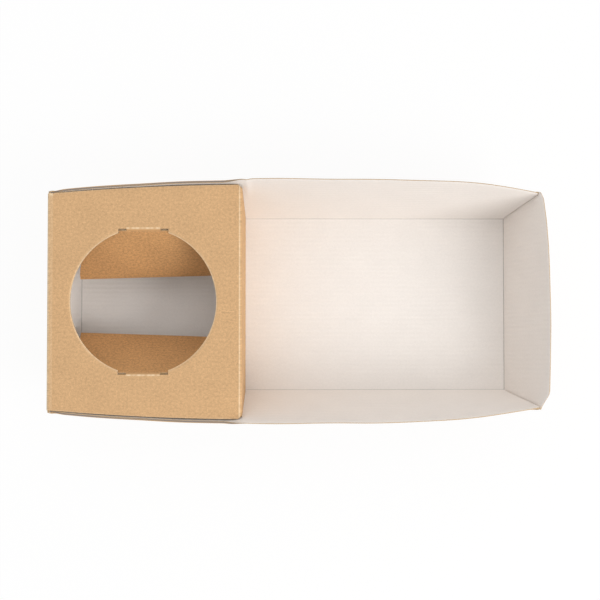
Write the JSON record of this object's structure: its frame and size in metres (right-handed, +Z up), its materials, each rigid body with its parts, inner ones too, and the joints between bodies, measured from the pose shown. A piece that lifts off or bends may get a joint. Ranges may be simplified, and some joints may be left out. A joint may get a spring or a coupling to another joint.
{
  "type": "cardboard tray box",
  "caption": "Flared corrugated food tray with a fold-over deck, a cup hole with press-in flaps and a hanging divider.",
  "frame": {"origin": "under the middle of the tray, on the surface it stands on", "axes": "+X along the tray towards the open end, +Y to its rear long side, +Z up"},
  "size_m": [0.2458, 0.1206, 0.049],
  "materials": {
    "lined_board": "matt off-white liner inside, brown kraft outside",
    "kraft_board": "matt brown kraft"
  },
  "bodies": {
    "tray": {"tray": "lined_board"},
    "cup_deck": {"cup_deck": "kraft_board"},
    "divider": {"divider": "kraft_board"},
    "rear_cup_flap": {"rear_cup_flap": "kraft_board"},
    "front_cup_flap": {"front_cup_flap": "kraft_board"}
  },
  "joints": [
    {"name": "deck_fold", "type": "hinge", "parent": "tray", "child": "cup_deck", "pos_m": [-0.12228, 0, 0.0444], "axis": [0, -1, 0], "range_deg": [0, 180]},
    {"name": "divider_fold", "type": "hinge", "parent": "cup_deck", "child": "divider", "pos_m": [-0.02828, 0, 0.0444], "axis": [0, -1, 0], "range_deg": [0, 90]},
    {"name": "rear_flap_fold", "type": "hinge", "parent": "cup_deck", "child": "rear_cup_flap", "pos_m": [-0.07578, 0.0355, 0.0444], "axis": [1, 0, 0], "range_deg": [-51, 39]},
    {"name": "front_flap_fold", "type": "hinge", "parent": "cup_deck", "child": "front_cup_flap", "pos_m": [-0.07578, -0.0355, 0.0444], "axis": [-1, 0, 0], "range_deg": [-57, 33]}
  ]
}
